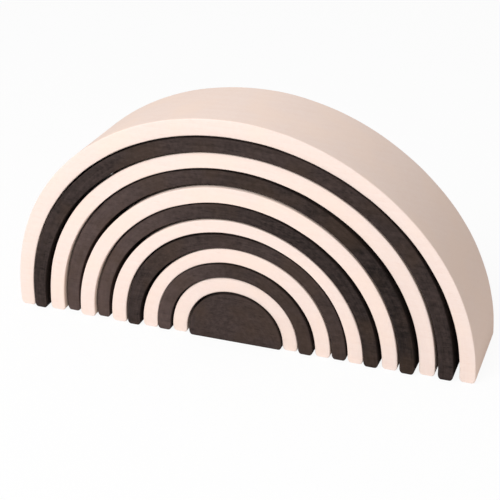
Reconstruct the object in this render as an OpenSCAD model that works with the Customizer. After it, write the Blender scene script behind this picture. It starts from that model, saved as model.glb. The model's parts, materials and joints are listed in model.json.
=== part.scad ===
// Rainbow stacker: a solid half-round block and the loose wooden arches that nest over it.
// Millimetres. The origin is on the floor at the middle of the largest arch.
// X runs along the width, Y from front to back and Z up.

/* [Centre block] */
// Width of the centre block at its foot
block_w = 79; // [60:0.5:100]
// Height of the centre block
block_h = 43.3; // [32:0.1:55]

/* [Arches] */
// Number of arches that nest over the centre block
arches = 11; // [1:1:11]
// Thickness of each arch
wall = 12.1; // [8:0.1:16]
// Depth of every piece from front to back
depth = 70; // [40:1:100]
// Height above the floor at which each leg stands upright
upright_h = 3.6; // [1:0.1:8]

/* [Gaps] */
// Gap beside the legs of the centre block
leg_gap_first = 0.65; // [0.5:0.05:1.5]
// Gap beside the legs under the largest arch
leg_gap_last = 2.5; // [1.5:0.05:4]
// Gap over the crown of the centre block
crown_gap_first = 0.45; // [0.4:0.05:1.5]
// Gap over the crown under the largest arch
crown_gap_last = 0.95; // [0.6:0.05:3]

/* [Edges] */
// Rounding of the long edges
edge_r = 1.2; // [0.4:0.1:2.5]
// Bevel along the edges of each foot
foot_ease = 1.3; // [0.3:0.1:2.5]

/* [Set by hand] */
// How far a piece stands forward or back of the largest arch
stagger = 2; // [0:0.1:3]
// Largest share of a leg gap that a piece sits to one side
sideways = 0.6; // [0:0.05:0.6]
// Largest share of a leg gap that a piece takes up by being turned
turned = 0.4; // [0:0.05:0.4]

/* [Hidden] */
$fn = 96;
natural_wood = "#F3E3D8";
black_wood = "#3B322F";
// Largest share of a wall that the rounding of one edge takes
most_rounding = 0.45;
// How each piece is set, from the centre block outwards, in shares of the sizes above:
// sideways (right is plus), back (plus) or forward (minus), and turned (left side back is plus).
HAND_SET = [
  [0.6, -0.9, 0],
  [-0.4, 0.1, 0],
  [-0.23, -0.7, 0.6],
  [0.7, -0.2, 0],
  [0.45, -0.7, -0.7],
  [0.4, -0.5, 0],
  [0.55, -0.3, 1],
  [-0.35, -0.6, 0],
  [0.5, 0, 0.9],
  [0, 0.1, 0],
  [-0.7, -0.8, 0],
  [0, 0, 0]
];

// Arches are numbered from the smallest, so odd ones are natural wood and even ones black.
function is_black(k) = k % 2 == 0;
function arch_name(k) = str("arch_", k < 10 ? "0" : "", k, is_black(k) ? "_black" : "_natural");

// Gap under arch k, which grows evenly from the first arch to the last, and the sum of those gaps.
function gap_step(first, last) = (last - first) / max(arches - 1, 1);
function gap(first, last, k) = first + gap_step(first, last) * (k - 1);
function gap_sum(first, last, k) = k * first + gap_step(first, last) * k * (k - 1) / 2;
function leg_gap(k) = gap(leg_gap_first, leg_gap_last, k);

// Inner half-width of arch k, and the height of its inner crown above the upright of its legs.
function inner_half(k) = block_w / 2 + (k - 1) * wall + gap_sum(leg_gap_first, leg_gap_last, k);
function inner_rise(k) =
  block_h - upright_h + (k - 1) * wall + gap_sum(crown_gap_first, crown_gap_last, k);

// Each curve is two side arcs and a crown arc that meet at 45 degrees. A side arc's centre lies
// this far from the crown arc's centre, along the 45 degree line. Lengths are kept to a thousandth,
// so that arcs which meet have the same end face.
function thousandth(x) = round(x * 1000) / 1000;
function arc_step(half, rise) = thousandth(sqrt(2) * (half - rise) / (2 - sqrt(2)));
function side_radius(half, rise) = thousandth(half - arc_step(half, rise) / sqrt(2));
// Angle by which a side arc runs on past the upright, to end below the floor.
function past_upright(radius) = asin(min(1, 2 * upright_h / radius));

// Where piece k is set: each piece leans against the next larger one.
function set_of(k) = HAND_SET[k % len(HAND_SET)];
function shift_x(k) =
  k >= arches ? 0 : shift_x(k + 1) + sideways * set_of(k)[0] * leg_gap(k + 1);
function shift_y(k) = stagger * set_of(k)[1];
function narrow_gap(k) = min(leg_gap(max(k, 1)), leg_gap(min(k + 1, arches)));
function turn(k) = -asin(turned * set_of(k)[2] * narrow_gap(k) / (depth / 2));

module set_by_hand(k) {
  translate([shift_x(k), shift_y(k), 0])
    rotate([0, 0, turn(k)])
      children();
}

// Section of an arch across its depth, between two distances from its arc's centre.
module section(r_in, r_out) {
  r = thousandth(min(edge_r, most_rounding * (r_out - r_in)));
  translate([r_in + r, -depth / 2]) square([r_out - r_in - 2 * r, depth]);
  translate([r_in, r - depth / 2]) square([r_out - r_in, depth - 2 * r]);
  for (x = [r_in + r, r_out - r], side = [-1, 1])
    translate([x, side * (depth / 2 - r)]) circle(r);
}

// Section of the solid block, which is rounded only on the outside.
module solid_section(r_out) {
  r = thousandth(edge_r);
  translate([0, -depth / 2]) square([r_out - r, depth]);
  translate([0, r - depth / 2]) square([r_out, depth - 2 * r]);
  for (side = [-1, 1])
    translate([r_out - r, side * (depth / 2 - r)]) circle(r);
}

// Turns a section about the Y axis, from one angle to another.
module arc(from, to) {
  rotate([90, 0, 0])
    rotate_extrude(angle = to - from, start = from)
      children();
}

// Crown arc of its first child and two side arcs of its second, which run on below the floor.
// They are set out on axes at 45 degrees, so that the arcs meet on these axes.
module three_arcs(step, past) {
  translate([0, 0, upright_h - step / sqrt(2)])
    rotate([0, -45, 0]) {
      arc(0, 90) children(0);
      translate([step, 0, 0]) arc(-45 - past, 0) children(1);
      translate([0, 0, step]) arc(90, 135 + past) children(1);
    }
}

// Wedge that bevels a foot's edge at the origin. The foot lies on the minus X side.
module wedge(length) {
  rotate([90, 0, 0])
    linear_extrude(length, center = true)
      polygon([[-2 * foot_ease, -foot_ease], [foot_ease, -foot_ease], [foot_ease, 2 * foot_ease]]);
}

// What is cut away below the floor and along the front, back and outer edges of both feet.
module foot_cuts(half) {
  translate([-2 * half, -depth, -2 * half]) cube([4 * half, 2 * depth, 2 * half]);
  for (facing = [0, 180])
    rotate([0, 0, facing]) {
      translate([half, 0, 0]) wedge(2 * depth);
      translate([0, depth / 2, 0]) rotate([0, 0, 90]) wedge(4 * half);
    }
}

// What is cut away along the inner edges of both feet.
module inner_cuts(half) {
  for (side = [-1, 1])
    translate([side * half, 0, 0])
      rotate([0, 0, side > 0 ? 180 : 0])
        wedge(2 * depth);
}

module arch(k) {
  half = inner_half(k);
  step = arc_step(half, inner_rise(k));
  r_in = side_radius(half, inner_rise(k));
  r_out = thousandth(r_in + wall);
  color(is_black(k) ? black_wood : natural_wood)
    set_by_hand(k)
      difference() {
        three_arcs(step, past_upright(r_in)) {
          section(r_in + step, r_out + step);
          section(r_in, r_out);
        }
        foot_cuts(half + wall);
        inner_cuts(half);
      }
}

// A base fills what the arcs leave open between their centres and the floor.
module centre_block() {
  half = block_w / 2;
  step = arc_step(half, block_h - upright_h);
  r_out = side_radius(half, block_h - upright_h);
  inset = r_out / 3;
  base = half - inset;
  color(black_wood)
    set_by_hand(0)
      difference() {
        union() {
          three_arcs(step, past_upright(inset)) {
            solid_section(r_out + step);
            solid_section(r_out);
          }
          translate([-base, -depth / 2, 0]) cube([2 * base, depth, 2 * upright_h]);
        }
        foot_cuts(half);
      }
}

centre_block();
for (k = [1:arches])
  arch(k);
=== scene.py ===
"""Looks of the rainbow stacker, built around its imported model."""
import json
import math

import bpy
import numpy as np
from mathutils import Matrix, Vector, noise


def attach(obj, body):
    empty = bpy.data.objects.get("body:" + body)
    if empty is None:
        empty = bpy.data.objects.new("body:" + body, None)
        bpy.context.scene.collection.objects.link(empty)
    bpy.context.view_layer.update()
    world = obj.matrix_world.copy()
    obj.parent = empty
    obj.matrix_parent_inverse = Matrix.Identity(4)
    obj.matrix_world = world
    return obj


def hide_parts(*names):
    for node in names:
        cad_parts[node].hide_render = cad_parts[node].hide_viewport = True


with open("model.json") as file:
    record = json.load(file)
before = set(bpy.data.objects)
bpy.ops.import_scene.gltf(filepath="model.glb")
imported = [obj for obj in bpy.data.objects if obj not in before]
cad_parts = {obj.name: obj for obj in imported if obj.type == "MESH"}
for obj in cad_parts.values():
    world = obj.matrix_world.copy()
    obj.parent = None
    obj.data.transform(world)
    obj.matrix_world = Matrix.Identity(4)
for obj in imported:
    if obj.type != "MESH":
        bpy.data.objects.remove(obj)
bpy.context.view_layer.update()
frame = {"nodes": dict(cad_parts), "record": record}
scene = bpy.context.scene
MM = 0.001

# The photo's viewing angle, fitted to the edges of the pale arches.
AZIMUTH, ELEVATION, ROLL = (math.radians(degrees) for degrees in (21.8, 27.6, -1.81))
TARGET = Vector((2.5, 0.0, 63.3)) * MM
DISTANCE = 915.4 * MM
CLIP_START = 10 * MM
LENS = 84.37
SENSOR = 36.0

# Sizes that the pieces share with the part, in millimetres: the thickness of an arch, and the height at
# which its legs stand upright.
WALL = 12.1
UPRIGHT = 3.6
# Rounding of the dressed pieces, in millimetres: of the long edges, and across and up at the feet.
EDGE_R = 0.9
FOOT_W, FOOT_H = 2.6, 4.2
# How far the dressed pieces keep inside the depth of their solids, in millimetres.
DEPTH_INSET = 0.05

# Hand-sawn walls are uneven by up to this much, in millimetres, and on small arches by a share of their
# half-width, less a bit. The left legs of the natural arches are thicker on the inside. Those of the
# black arches are thinner there, and their right legs are thinner on the outside.
UNEVEN = 0.9
UNEVEN_SHARE = 0.012
UNEVEN_LESS = 0.3
RIGHT_SHARE = 0.7
RIGHT_FADE = 6
# How much lower the outer and the inner curve of a piece run at the crown, read from the photo.
CROWN_FADE = 4
CROWN_LOWER = {
    "centre_block": (0.8, 0.0),
    "arch_01_natural": (0.0, 0.7),
    "arch_02_black": (0.5, 0.0),
    "arch_03_natural": (0.0, 0.5),
    "arch_04_black": (0.9, 0.0),
    "arch_05_natural": (2.0, 0.3),
    "arch_06_black": (1.8, 1.7),
    "arch_07_natural": (0.9, 1.5),
    "arch_08_black": (0.9, 0.0),
    "arch_09_natural": (0.0, 0.5),
    "arch_10_black": (0.9, 0.0),
    "arch_11_natural": (0.0, 1.2),
}
# How much further out the outer and the inner curve of a piece run at the shoulders, read from the photo
# too. Each pair is the left and the right shoulder, and minus is further in.
SHOULDER_FADE = 1.6
EVEN_SHOULDERS = ((0.0, 0.0), (0.0, 0.0))
SHOULDERS_OUT = {
    "arch_03_natural": ((-2.0, 0.6), (0.0, 0.0)),
    "arch_04_black": ((0.0, 0.0), (-1.7, 0.7)),
    "arch_05_natural": ((-1.4, -1.4), (0.0, 0.0)),
    "arch_06_black": ((-1.8, -1.2), (-1.2, -1.2)),
    "arch_07_natural": ((-2.2, 0.0), (-1.6, -1.0)),
    "arch_08_black": ((0.0, 0.0), (-1.9, 0.0)),
    "arch_09_natural": ((-0.6, 1.6), (0.0, 0.0)),
    "arch_10_black": ((0.0, 1.7), (-0.6, 1.6)),
    "arch_11_natural": ((1.8, -1.3), (0.8, -0.2)),
}

# How finely the pieces are meshed: the length of a step along a curve in millimetres, the length of a
# side arc and of the crown arc as shares of the half-width, and numbers of steps.
ALONG = 2.2
ARC_SHARES = (0.8, 1.6)
ACROSS = 4
FLANK_STEPS = 8
EDGE_STEPS = 5
FOOT_STEPS = 5
# How strongly large faces set the shading, up to 100.
LARGE_FACES_FIRST = 100

# Unevenness left by the saw, in millimetres: how deep it goes, how long its waves are and how far above
# the feet it is at its full depth.
SAW_WAVE = 0.16
SAW_LENGTH = 26.0
SAW_RISE = 10.0
# Unevenness left by hand sanding: the share by which the rounding of an edge varies, and over what length.
EDGE_WAVE = 0.3
EDGE_LENGTH = 17.0
EDGE_SEED = 3
# How strongly a wave swings, and where in the noise it runs.
WAVE_GAIN = 1.6
WAVE_ROW = 7.31
WAVE_LAYER = 0.5


def make_camera():
    """Camera at the photo's place, rolled as the photo is."""
    back = Vector((
        math.sin(AZIMUTH) * math.cos(ELEVATION),
        -math.cos(AZIMUTH) * math.cos(ELEVATION),
        math.sin(ELEVATION),
    ))
    right = (-back).cross(Vector((0, 0, 1))).normalized()
    up = right.cross(-back)
    rolled_right = right * math.cos(ROLL) + up * math.sin(ROLL)
    rolled_up = up * math.cos(ROLL) - right * math.sin(ROLL)
    camera = bpy.data.objects.new("camera", bpy.data.cameras.new("camera"))
    camera.data.lens = LENS
    camera.data.sensor_width = SENSOR
    camera.data.clip_start = CLIP_START
    turned = Matrix((rolled_right, rolled_up, back)).transposed().to_4x4()
    camera.matrix_world = Matrix.Translation(TARGET + back * DISTANCE) @ turned
    scene.collection.objects.link(camera)
    scene.camera = camera


make_camera()


class Placed:
    """Where a CAD node stands and how large it is, in millimetres, read from its own points."""

    def __init__(self, name):
        self.name = name
        mesh = frame["nodes"][name].data
        points = np.empty(len(mesh.vertices) * 3, np.float32)
        mesh.vertices.foreach_get("co", points)
        points = points.reshape(-1, 3).astype(float) / MM
        feet = points[points[:, 2] < 2 * UPRIGHT]
        middle = (feet[:, 0].min() + feet[:, 0].max()) / 2
        left, right = feet[feet[:, 0] < middle], feet[feet[:, 0] > middle]
        ends = [(foot.min(0) + foot.max(0)) / 2 for foot in (left, right)]
        self.x, self.y = ((ends[0] + ends[1]) / 2)[:2]
        self.turn = math.atan2(ends[1][1] - ends[0][1], ends[1][0] - ends[0][0])
        cosine, sine = math.cos(self.turn), math.sin(self.turn)
        local = (points[:, :2] - (self.x, self.y)) @ np.array(((cosine, -sine), (sine, cosine)))
        self.half, self.depth = local[:, 0].max(), 2 * (local[:, 1].max() - DEPTH_INSET)
        self.height = points[:, 2].max()

    def matrix(self):
        return Matrix.Translation(Vector((self.x, self.y, 0)) * MM) @ Matrix.Rotation(self.turn, 4, "Z")


def three_arcs(place, inset):
    """Points and outward normals of a curve, from the right foot over the crown to the left foot.
    It lies inset inside the solid's outer curve, and ends where the rounding of the feet starts."""
    step = (place.half - (place.height - UPRIGHT)) / (2 - math.sqrt(2))
    side = place.half - step - inset
    crown = side + step * math.sqrt(2)
    start = math.asin((FOOT_H - UPRIGHT) / side)
    side_steps, crown_steps = (math.ceil(share * place.half / ALONG) for share in ARC_SHARES)
    right = []
    for i in range(side_steps):
        angle = start + (math.pi / 4 - start) * i / side_steps
        nx, nz = math.cos(angle), math.sin(angle)
        right.append((step + side * nx, UPRIGHT + side * nz, nx, nz))
    top = []
    for i in range(crown_steps + 1):
        angle = math.pi / 4 + math.pi / 2 * i / crown_steps
        nx, nz = math.cos(angle), math.sin(angle)
        top.append((crown * nx, UPRIGHT - step + crown * nz, nx, nz))
    return right + top + [(-x, z, -nx, nz) for x, z, nx, nz in right[::-1]]


def lowered(curve, amount):
    """Curve whose crown runs lower by the given amount, fading out towards the legs."""
    return [(x, z - amount * nz ** CROWN_FADE, nx, nz) for x, z, nx, nz in curve]


def fuller(curve, left, right):
    """Curve whose shoulders stand out by the given amounts, fading out to the crown and the legs."""
    out = []
    for x, z, nx, nz in curve:
        amount = (2 * abs(nx) * max(0, nz)) ** SHOULDER_FADE * (left if nx < 0 else right)
        out.append((x + amount * nx, z + amount * nz, nx, nz))
    return out


def foot_corner(x, side):
    """Quarter of an ellipse from a flank at x down to the floor. Side is the way the flank faces."""
    out = []
    for i in range(1, FOOT_STEPS + 1):
        angle = math.pi / 2 * i / FOOT_STEPS
        normal = Vector((side * math.cos(angle) / FOOT_W, -math.sin(angle) / FOOT_H)).normalized()
        out.append((x + side * FOOT_W * (math.cos(angle) - 1), FOOT_H * (1 - math.sin(angle)), *normal))
    return out


def arch_outline(place):
    """Closed outline of an arch, and the number of points on one of its curves. It runs over the outer
    curve, the left foot, the inner curve and the right foot."""
    uneven = min(UNEVEN, UNEVEN_SHARE * place.half - UNEVEN_LESS)
    black = place.name.endswith("black")
    thicker, trimmed = (-uneven, RIGHT_SHARE * uneven) if black else (uneven, 0.0)
    shoulders = SHOULDERS_OUT.get(place.name, EVEN_SHOULDERS)
    curves = []
    for inset, lower, out in zip((0, WALL), CROWN_LOWER[place.name], shoulders):
        curves.append(fuller(lowered(three_arcs(place, inset), lower), *out))
    outer = [(x - trimmed * max(0.0, nx) ** RIGHT_FADE, z, nx, nz) for x, z, nx, nz in curves[0]]
    inner = [(x + thicker * max(0.0, -nx), z, -nx, -nz) for x, z, nx, nz in curves[1]]
    right = foot_corner(outer[0][0], 1)
    right_in = foot_corner(inner[0][0], -1)
    left = foot_corner(outer[-1][0], -1)
    left_in = foot_corner(inner[-1][0], 1)
    loop = outer + left + left_in[::-1] + inner[::-1] + right_in + right[::-1]
    return loop, len(outer)


def block_outline(place):
    """Closed outline of the solid block, and the number of points on its curve."""
    outer = lowered(three_arcs(place, 0), CROWN_LOWER[place.name][0])
    left = foot_corner(outer[-1][0], -1)
    right = foot_corner(outer[0][0], 1)
    return outer + left + right[::-1], len(outer)


def levels(depth, edge):
    """Steps of the outline from the front face to the back, as (y, inset)."""
    front = []
    for i in range(EDGE_STEPS + 1):
        angle = math.pi / 2 * i / EDGE_STEPS
        front.append((-depth / 2 + edge * (1 - math.cos(angle)), edge * (1 - math.sin(angle))))
    flat = depth - 2 * edge
    flank = [(-flat / 2 + flat * i / FLANK_STEPS, 0.0) for i in range(1, FLANK_STEPS)]
    return front + flank + [(-y, inset) for y, inset in front[::-1]]


def lengths_along(loop):
    """Distance of each outline point from the first, along the outline."""
    out, total = [], 0.0
    for (x0, z0, _, _), (x1, z1, _, _) in zip(loop, loop[1:] + loop[:1]):
        out.append(total)
        total += math.hypot(x1 - x0, z1 - z0)
    return out


def wave(distance, length, seed):
    """Smooth unevenness between 0 and 1 along an edge."""
    swing = noise.noise(Vector((distance / length, seed * WAVE_ROW, WAVE_LAYER)))
    return 0.5 + 0.5 * max(-1.0, min(1.0, WAVE_GAIN * swing))


def piece_mesh(place, seed):
    """Mesh of a piece: its outline in rows from the front to the back, closed by caps."""
    solid = place.name == "centre_block"
    loop, count = block_outline(place) if solid else arch_outline(place)
    columns = []
    for (x, z, nx, nz), distance in zip(loop, lengths_along(loop)):
        edge = EDGE_R * (1 + EDGE_WAVE * (2 * wave(distance, EDGE_LENGTH, seed + EDGE_SEED) - 1))
        above_foot = min(1.0, max(0.0, (z - FOOT_H) / SAW_RISE))
        sunk = SAW_WAVE * wave(distance, SAW_LENGTH, seed) * above_foot
        column = []
        for y, inset in levels(place.depth, edge):
            column.append((x - nx * (inset + sunk), y, z - nz * (inset + sunk)))
        columns.append(column)
    rows = list(zip(*columns))
    points = [point for row in rows for point in row]
    around = len(loop)
    faces = []
    for row in range(len(rows) - 1):
        here, there = row * around, (row + 1) * around
        for i in range(around):
            j = (i + 1) % around
            faces.append((here + i, here + j, there + j, there + i))
    for row, flip in ((0, True), (len(rows) - 1, False)):
        ring = [row * around + i for i in range(around)]
        caps = [ring] if solid else arch_caps(ring, count, points)
        faces += [tuple(cap[::-1]) if flip else tuple(cap) for cap in caps]
    mesh = bpy.data.meshes.new(place.name + "_wood")
    mesh.from_pydata([Vector(point) * MM for point in points], [], faces)
    mesh.update()
    mesh.shade_smooth()
    return mesh


def arch_caps(ring, count, points):
    """Faces that close an arch's front or back: strips between the curves, and one face at each foot.
    The points that lie between the curves are added to points."""
    feet = (len(ring) - 2 * count) // 2
    outer = ring[:count]
    inner = ring[count + feet:2 * count + feet][::-1]
    lines = [outer]
    for step in range(1, ACROSS):
        share = step / ACROSS
        line = []
        for a, b in zip(outer, inner):
            line.append(len(points))
            points.append(tuple(points[a][k] * (1 - share) + points[b][k] * share for k in range(3)))
        lines.append(line)
    lines.append(inner)
    faces = []
    for first, second in zip(lines, lines[1:]):
        for i in range(count - 1):
            faces.append([first[i], first[i + 1], second[i + 1], second[i]])
    left = ring[count:count + feet]
    right = ring[2 * count + feet:]
    faces.append(left + [line[-1] for line in lines[::-1]])
    faces.append(right + [line[0] for line in lines])
    return faces


class Graph:
    """Builds a material's nodes: a value is set on a socket, and a socket is linked to it."""

    def __init__(self, name):
        self.material = bpy.data.materials.new(name)
        self.material.use_nodes = True
        self.tree = self.material.node_tree
        self.tree.nodes.clear()

    def node(self, kind, inputs=(), **settings):
        made = self.tree.nodes.new(kind)
        for key, value in settings.items():
            setattr(made, key, value)
        for key, value in dict(inputs).items():
            if isinstance(value, bpy.types.NodeSocket):
                self.tree.links.new(value, made.inputs[key])
            else:
                made.inputs[key].default_value = value
        return made

    def math(self, operation, a, b=0.0, c=0.0, clamp=False):
        inputs = {0: a, 1: b, 2: c}
        return self.node("ShaderNodeMath", inputs, operation=operation, use_clamp=clamp).outputs[0]

    def mix(self, factor, a, b):
        return self.node("ShaderNodeMix", {0: factor, 6: a, 7: b}, data_type="RGBA").outputs[2]

    def spread(self, value, low, high):
        """Value between low and high, taken to 0 to 1."""
        inputs = {0: value, 1: low, 2: high}
        return self.node("ShaderNodeMapRange", inputs, interpolation_type="SMOOTHSTEP").outputs[0]

    def noise(self, vector, scale, detail, rough):
        inputs = {"Vector": vector, "Scale": scale, "Detail": detail, "Roughness": rough}
        return self.node("ShaderNodeTexNoise", inputs, noise_dimensions="3D").outputs[0]

    def scaled(self, vector, factors):
        inputs = {0: vector, 1: factors}
        return self.node("ShaderNodeVectorMath", inputs, operation="MULTIPLY").outputs[0]

    def moved(self, vector, way):
        return self.node("ShaderNodeMapping", {"Vector": vector, "Location": way}).outputs[0]


def srgb(r, g, b):
    """Colour given in 0 to 255, as the linear colour that a node takes."""
    def linear(c):
        c /= 255
        return c / 12.92 if c <= 0.04045 else ((c + 0.055) / 1.055) ** 2.4
    return (linear(r), linear(g), linear(b), 1.0)


# Looks of the two woods: colours of the dark and light grain, of the patches and of the end grain, the
# painted shade laid on the flanks, which makes them look as they do in the shade of the narrow gaps between
# the arches, how light the grain is on the whole, and the shares in it of bands, rings, fibres, sanding
# marks, mottling and pores.
NATURAL = {
    "low": srgb(243, 217, 204), "high": srgb(255, 238, 230), "patch": srgb(255, 230, 214),
    "end": srgb(238, 205, 184), "end_share": 0.5,
    # The flank colour is painted shade: a warmer brown, as the pale flanks look in the shade of the gaps.
    "flank": srgb(250, 222, 198), "flank_shade_share": 0.12,
    "tone": 0.55, "shares": (0.24, 0.1, 0.16, 0.3, 0.4, 0.25),
    "roughness": (0.5, 0.68), "specular": 0.16, "bump": 0.12,
}
BLACK = {
    "low": srgb(27, 21, 19), "high": srgb(104, 87, 83), "patch": srgb(72, 56, 45),
    "end": srgb(40, 32, 30), "end_share": 0.3,
    # The flank colour is painted shade: near black, as the black flanks look in the shade of the gaps.
    "flank": srgb(24, 19, 17), "flank_shade_share": 0.65,
    "tone": 0.335, "shares": (0.2, 0.06, 0.16, 0.35, 0.5, 0.2),
    "roughness": (0.55, 0.75), "specular": 0.1, "bump": 0.25,
}
# How the stain of a black arch differs from the look: how much paler it is at the crown, how much paler
# it gets up to a reach to the left, and how much darker to the right. The reach is in metres.
STAIN = {
    "arch_02_black": (-0.03, 0.9, 0.0),
    "arch_04_black": (0.0, -0.2, 0.0),
    "arch_06_black": (-0.13, 0.77, 0.1),
    "arch_08_black": (-0.1, 0.52, 0.19),
    "arch_10_black": (-0.05, -0.07, 0.06),
}
STAIN_REACH = 0.17

# Noise in the wood, as scale, detail and roughness.
BANDS = (70.0, 3.0, 0.55)
FIBRES = (900.0, 3.0, 0.6)
PORES = (1700.0, 2.0, 0.5)
MOTTLE = (280.0, 3.0, 0.65)
PATCHES = (28.0, 2.0, 0.5)
SANDING = (650.0, 3.0, 0.6)
SAW_MARKS = (500.0, 3.0, 0.6)
RINGS = {"Scale": 62.0, "Distortion": 2.2, "Detail": 2.0, "Detail Scale": 1.2}
# Where the noise of pores and of patches starts and ends to show, and how much of a patch shows.
PORES_SHOWN = (0.62, 0.72)
PATCHES_SHOWN = (0.42, 0.68)
PATCH_SHARE = 0.42
# How the grain and the pores are drawn out along X, and sanding and saw marks around the curves.
GRAIN_DRAWN = (0.05, 1.0, 1.0)
PORES_DRAWN = (0.09, 1.0, 1.0)
SANDING_DRAWN = 0.006
SAW_DRAWN = 0.15
# Where the middle of the rings lies, and how far the wood of one piece is moved on from the last one's.
PITH = (0.0, 0.16, -0.3)
PITH_MOVED = (0.0, 0.0, -0.021)
GRAIN_MOVED = (0.37, 0.11, 0.23)
SANDING_MOVED = 0.29
SAW_MOVED = 0.37
# How fast end grain fades as a face turns from X, and how far a flank's normal lies along Y. The flanks get
# the painted shade and the saw marks.
END_FADE = 3.0
FLANK_SHOWN = (0.9, 0.2)
# Shares of fibres, mottling, pores and saw marks in the relief, and its height in metres.
RELIEF = (0.5, 0.5, -0.7, 0.8)
RELIEF_HEIGHT = 0.0004


def stained(graph, tone, x, stain):
    """Tone of a black arch, which changes along X to both sides of the crown."""
    at_crown, to_left, to_right = stain
    left = graph.math("MINIMUM", x, 0.0)
    right = graph.math("MAXIMUM", x, 0.0)
    tone = graph.math("MULTIPLY_ADD", left, -to_left / STAIN_REACH, tone + at_crown)
    return graph.math("MULTIPLY_ADD", right, -to_right / STAIN_REACH, tone)


def wood(name, look, seed, stain):
    """Sawn and sanded wood with its grain along X."""
    graph = Graph(name)
    place = graph.node("ShaderNodeTexCoord").outputs["Object"]
    moved = graph.moved(place, Vector(GRAIN_MOVED) * seed)
    grain = graph.scaled(moved, GRAIN_DRAWN)
    bands = graph.noise(grain, *BANDS)
    fibres = graph.noise(grain, *FIBRES)
    pores = graph.spread(graph.noise(graph.scaled(moved, PORES_DRAWN), *PORES), *PORES_SHOWN)
    mottle = graph.noise(moved, *MOTTLE)
    patches = graph.spread(graph.noise(moved, *PATCHES), *PATCHES_SHOWN)
    pith = graph.moved(grain, Vector(PITH) + Vector(PITH_MOVED) * seed)
    rings = graph.node(
        "ShaderNodeTexWave", {"Vector": pith, **RINGS},
        wave_type="RINGS", rings_direction="X", wave_profile="SAW",
    ).outputs[1]

    axes = graph.node("ShaderNodeSeparateXYZ", {0: place})
    angle = graph.math("ARCTAN2", axes.outputs[2], axes.outputs[0])
    across = graph.scaled(place, (1.0, 0.0, 1.0))
    radius = graph.node("ShaderNodeVectorMath", {0: across}, operation="LENGTH").outputs[1]
    sanding_place = graph.node("ShaderNodeCombineXYZ", {
        0: radius, 1: graph.math("MULTIPLY", angle, SANDING_DRAWN), 2: SANDING_MOVED * seed,
    }).outputs[0]
    sanding = graph.noise(sanding_place, *SANDING)
    saw_place = graph.node("ShaderNodeCombineXYZ", {
        0: graph.math("MULTIPLY", angle, SAW_DRAWN), 1: SAW_MOVED * seed,
    }).outputs[0]
    saw_marks = graph.noise(saw_place, *SAW_MARKS)

    tone = stained(graph, look["tone"], axes.outputs[0], stain) if stain else look["tone"]
    *shares, pores_share = look["shares"]
    for value, share in zip((bands, rings, fibres, sanding, mottle), shares):
        tone = graph.math("MULTIPLY_ADD", graph.math("SUBTRACT", value, 0.5), share, tone)
    tone = graph.math("MULTIPLY_ADD", pores, -pores_share, tone, clamp=True)
    colour = graph.mix(tone, look["low"], look["high"])
    colour = graph.mix(graph.math("MULTIPLY", patches, PATCH_SHARE), colour, look["patch"])

    normal = graph.node("ShaderNodeSeparateXYZ", {0: graph.node("ShaderNodeNewGeometry").outputs["Normal"]})
    end = graph.math("POWER", graph.math("ABSOLUTE", normal.outputs[0]), END_FADE)
    colour = graph.mix(graph.math("MULTIPLY", end, look["end_share"]), colour, look["end"])
    # Painted shade: the flanks take the flank colour, darker on the black wood and browner on the natural
    # wood, as if shaded inside the gaps between the arches.
    flank = graph.spread(graph.math("ABSOLUTE", normal.outputs[1]), *FLANK_SHOWN)
    colour = graph.mix(graph.math("MULTIPLY", flank, look["flank_shade_share"]), colour, look["flank"])

    height = 0.0
    for value, share in zip((fibres, mottle, pores, graph.math("MULTIPLY", saw_marks, flank)), RELIEF):
        height = graph.math("MULTIPLY_ADD", value, share, height)
    relief = graph.node("ShaderNodeBump", {
        "Strength": look["bump"], "Distance": RELIEF_HEIGHT, "Height": height,
    }).outputs[0]
    low_rough, high_rough = look["roughness"]
    rough = graph.math("MULTIPLY_ADD", fibres, high_rough - low_rough, low_rough)
    shader = graph.node("ShaderNodeBsdfPrincipled", {
        "Base Color": colour, "Roughness": rough, "Normal": relief, "Specular IOR Level": look["specular"],
    }).outputs[0]
    graph.node("ShaderNodeOutputMaterial", {0: shader})
    return graph.material


def make_pieces():
    """One piece of wood in place of each solid."""
    bodies = frame["record"]["behaviour"]["bodies"]
    for seed, (body, nodes) in enumerate(bodies.items()):
        for name in nodes:
            place = Placed(name)
            slot = "natural_wood" if name.endswith("natural") else "black_wood"
            look = NATURAL if slot == "natural_wood" else BLACK
            piece = bpy.data.objects.new(name + "_piece", piece_mesh(place, seed))
            piece.data.materials.append(wood(f"{slot}_{seed:02d}", look, seed, STAIN.get(name)))
            piece.matrix_world = place.matrix()
            scene.collection.objects.link(piece)
            # Large faces set the shading, so that the flat fronts stay flat up to their edges.
            piece.modifiers.new("even_normals", "WEIGHTED_NORMAL").weight = LARGE_FACES_FIRST
            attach(piece, body)
            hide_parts(name)


make_pieces()

# Light: a large soft lamp in front, above and to the left, and an even white surround. Places and sizes
# are in metres. Of the floor's own shading only a small share is shown.
WHITE = (1.0, 1.0, 1.0, 1.0)
WORLD_STRENGTH = 0.48
SHOWN_STRENGTH = 1.0
KEY_PLACE = Vector((-0.47, -1.08, 1.26))
KEY_AIM = Vector((0.0, 0.0, 0.06))
KEY_SIZE = 1.1
KEY_POWER = 17.5
FLOOR_COLOUR = (0.97, 0.97, 0.97, 1.0)
FLOOR_SIZE = 12.0
FLOOR_SHOWN = 0.08


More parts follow.
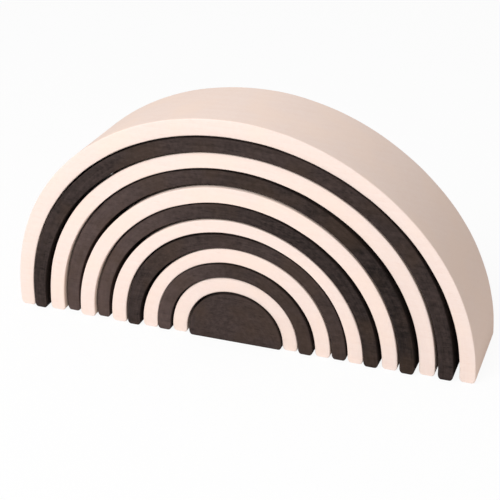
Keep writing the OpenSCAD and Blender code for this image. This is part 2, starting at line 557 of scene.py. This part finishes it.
def make_key():
    lamp = bpy.data.lights.new("key", "AREA")
    lamp.shape = "DISK"
    lamp.size = KEY_SIZE
    lamp.energy = KEY_POWER
    key = bpy.data.objects.new("key", lamp)
    key.location = KEY_PLACE
    key.rotation_euler = (KEY_AIM - KEY_PLACE).to_track_quat("-Z", "Y").to_euler()
    scene.collection.objects.link(key)


def make_surround():
    """White surround, which is dimmer as a light than it looks to the camera."""
    world = bpy.data.worlds.new("surround")
    world.use_nodes = True
    tree = world.node_tree
    tree.nodes.clear()
    path = tree.nodes.new("ShaderNodeLightPath")
    background = tree.nodes.new("ShaderNodeBackground")
    output = tree.nodes.new("ShaderNodeOutputWorld")
    strength = tree.nodes.new("ShaderNodeMapRange")
    strength.inputs["To Min"].default_value = WORLD_STRENGTH
    strength.inputs["To Max"].default_value = SHOWN_STRENGTH
    background.inputs["Color"].default_value = WHITE
    tree.links.new(path.outputs["Is Camera Ray"], strength.inputs["Value"])
    tree.links.new(strength.outputs[0], background.inputs["Strength"])
    tree.links.new(background.outputs[0], output.inputs["Surface"])
    scene.world = world


def make_floor():
    """White floor. To the camera it is lifted to white, and it keeps part of its shading for the shadow."""
    graph = Graph("floor_white")
    plain = graph.node("ShaderNodeBsdfDiffuse", {"Color": FLOOR_COLOUR}).outputs[0]
    shown = graph.node("ShaderNodeEmission", {"Color": WHITE, "Strength": SHOWN_STRENGTH}).outputs[0]
    camera_ray = graph.node("ShaderNodeLightPath").outputs["Is Camera Ray"]
    lifted = graph.node("ShaderNodeMixShader", {0: FLOOR_SHOWN, 1: shown, 2: plain}).outputs[0]
    surface = graph.node("ShaderNodeMixShader", {0: camera_ray, 1: plain, 2: lifted}).outputs[0]
    graph.node("ShaderNodeOutputMaterial", {0: surface})
    half = FLOOR_SIZE / 2
    mesh = bpy.data.meshes.new("floor")
    corners = [(-half, -half, 0), (half, -half, 0), (half, half, 0), (-half, half, 0)]
    mesh.from_pydata(corners, [], [(0, 1, 2, 3)])
    mesh.materials.append(graph.material)
    floor = bpy.data.objects.new("floor", mesh)
    scene.collection.objects.link(floor)


make_key()
make_surround()
make_floor()
scene.view_settings.view_transform = "Standard"
